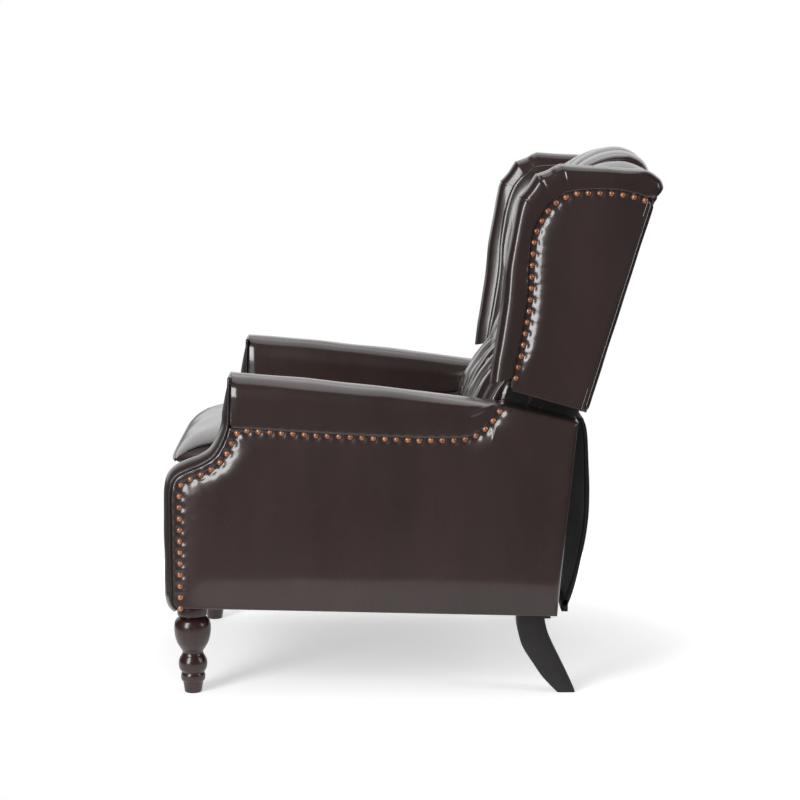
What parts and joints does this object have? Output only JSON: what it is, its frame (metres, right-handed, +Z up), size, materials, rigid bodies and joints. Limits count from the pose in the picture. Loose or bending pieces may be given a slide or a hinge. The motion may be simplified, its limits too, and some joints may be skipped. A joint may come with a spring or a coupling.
{
  "type": "wingback recliner",
  "caption": "Pushback wingback recliner in dark brown leather with nail trim, a tufted back, turned front legs and a fold-out footrest",
  "frame": {"origin": "on the floor, at the middle of the chair's box in plan", "axes": "+Z up, the chair faces -Y, +X to its left arm as the sitter sees it"},
  "size_m": [0.71, 0.918, 1.01],
  "materials": {
    "leather": "semi-gloss bonded leather",
    "bronze_nails": "burnished bronze",
    "turned_leg": "semi-gloss espresso stain",
    "black_leg": "satin black stain",
    "frame_wood": "bare plywood and pine",
    "mechanism_steel": "black enamel",
    "black_cloth": "matte woven dust cloth"
  },
  "bodies": {
    "base": {"arm_board_right": "frame_wood", "arm_board_left": "frame_wood", "arm_inside_panel_right": "leather", "arm_inside_panel_left": "leather", "arm_outside_panel_right": "leather", "arm_outside_panel_left": "leather", "arm_roll_right": "leather", "arm_roll_left": "leather", "arm_front_pad_right": "leather", "arm_front_pad_left": "leather", "arm_welts_right": "leather", "arm_welts_left": "leather", "arm_nails_right": "bronze_nails", "arm_nails_left": "bronze_nails", "front_leg_right": "turned_leg", "front_leg_left": "turned_leg", "rear_leg_right": "black_leg", "rear_leg_left": "black_leg", "base_front_rail": "frame_wood", "base_rear_rail": "frame_wood", "corner_blocks": "frame_wood", "base_plates": "mechanism_steel"},
    "front_swing": {"front_swing_links": "mechanism_steel"},
    "rear_swing": {"rear_swing_links": "mechanism_steel"},
    "seat": {"seat_plate_right": "mechanism_steel", "seat_plate_left": "mechanism_steel", "seat_side_rails": "frame_wood", "seat_front_rail": "frame_wood", "seat_rear_rail": "frame_wood", "seat_springs": "mechanism_steel", "seat_deck": "black_cloth", "seat_cushion": "leather"},
    "back": {"back_posts": "frame_wood", "back_top_rail": "frame_wood", "back_bottom_rail": "frame_wood", "back_straps": "black_cloth", "inside_back": "leather", "back_buttons": "leather", "outside_back": "leather", "crown": "leather", "wing_board_right": "frame_wood", "wing_board_left": "frame_wood", "wing_outside_panel_right": "leather", "wing_outside_panel_left": "leather", "wing_roll_right": "leather", "wing_roll_left": "leather", "wing_inside_pad_right": "leather", "wing_inside_pad_left": "leather", "wing_nails_right": "bronze_nails", "wing_nails_left": "bronze_nails", "back_brackets": "mechanism_steel"},
    "flap": {"back_flap": "leather", "flap_hem": "black_cloth"},
    "inner_links": {"footrest_inner_links": "mechanism_steel"},
    "control_links": {"footrest_control_links": "mechanism_steel"},
    "outer_links": {"footrest_outer_links": "mechanism_steel"},
    "footrest": {"footrest_board": "frame_wood", "footrest_pad": "leather", "footrest_brackets": "mechanism_steel"},
    "couplers": {"footrest_couplers": "mechanism_steel"}
  },
  "joints": [
    {"name": "seat_glide", "type": "hinge", "parent": "base", "child": "rear_swing", "pos_m": [0, 0.11106, 0.255], "axis": [1, 0, 0], "range_deg": [0, 50]},
    {"name": "front_swing_turn", "type": "hinge", "parent": "base", "child": "front_swing", "pos_m": [0, -0.24894, 0.255], "axis": [1, 0, 0], "range_deg": [0, 50]},
    {"name": "seat_level", "type": "hinge", "parent": "rear_swing", "child": "seat", "pos_m": [0, 0.18, 0.31285], "axis": [1, 0, 0], "range_deg": [-50, 0]},
    {"name": "footrest_drive", "type": "hinge", "parent": "seat", "child": "inner_links", "pos_m": [0, -0.3, 0.305], "axis": [1, 0, 0], "range_deg": [-128, 0]},
    {"name": "footrest_control", "type": "hinge", "parent": "seat", "child": "control_links", "pos_m": [0, -0.34835, 0.31775], "axis": [1, 0, 0], "range_deg": [-128, 0]},
    {"name": "footrest_elbow", "type": "hinge", "parent": "inner_links", "child": "outer_links", "pos_m": [0, -0.19, 0.207], "axis": [1, 0, 0], "range_deg": [0, 128]},
    {"name": "footrest_turn", "type": "hinge", "parent": "outer_links", "child": "footrest", "pos_m": [0, -0.372, 0.255], "axis": [1, 0, 0], "range_deg": [-84, 0]},
    {"name": "coupler_turn", "type": "hinge", "parent": "inner_links", "child": "couplers", "pos_m": [0, -0.1709, 0.22748], "axis": [1, 0, 0], "range_deg": [0, 139.04]},
    {"name": "back_recline", "type": "hinge", "parent": "seat", "child": "back", "pos_m": [0, 0.24, 0.33], "axis": [-1, 0, 0], "range_deg": [0, 30]},
    {"name": "flap_swing", "type": "hinge", "parent": "back", "child": "flap", "pos_m": [0, 0.31588, 0.51244], "axis": [1, 0, 0], "range_deg": [0, 30]}
  ],
  "couplings": [
    {"joint": "front_swing_turn", "follows": "seat_glide", "ratio": 1},
    {"joint": "seat_level", "follows": "seat_glide", "ratio": -1},
    {"joint": "footrest_drive", "follows": "seat_glide", "ratio": -2.56},
    {"joint": "footrest_control", "follows": "seat_glide", "ratio": -2.56},
    {"joint": "footrest_elbow", "follows": "seat_glide", "ratio": 2.56},
    {"joint": "footrest_turn", "follows": "seat_glide", "ratio": -1.68},
    {"joint": "coupler_turn", "follows": "seat_glide", "ratio": 2.7808},
    {"joint": "flap_swing", "follows": "back_recline", "ratio": 1}
  ]
}
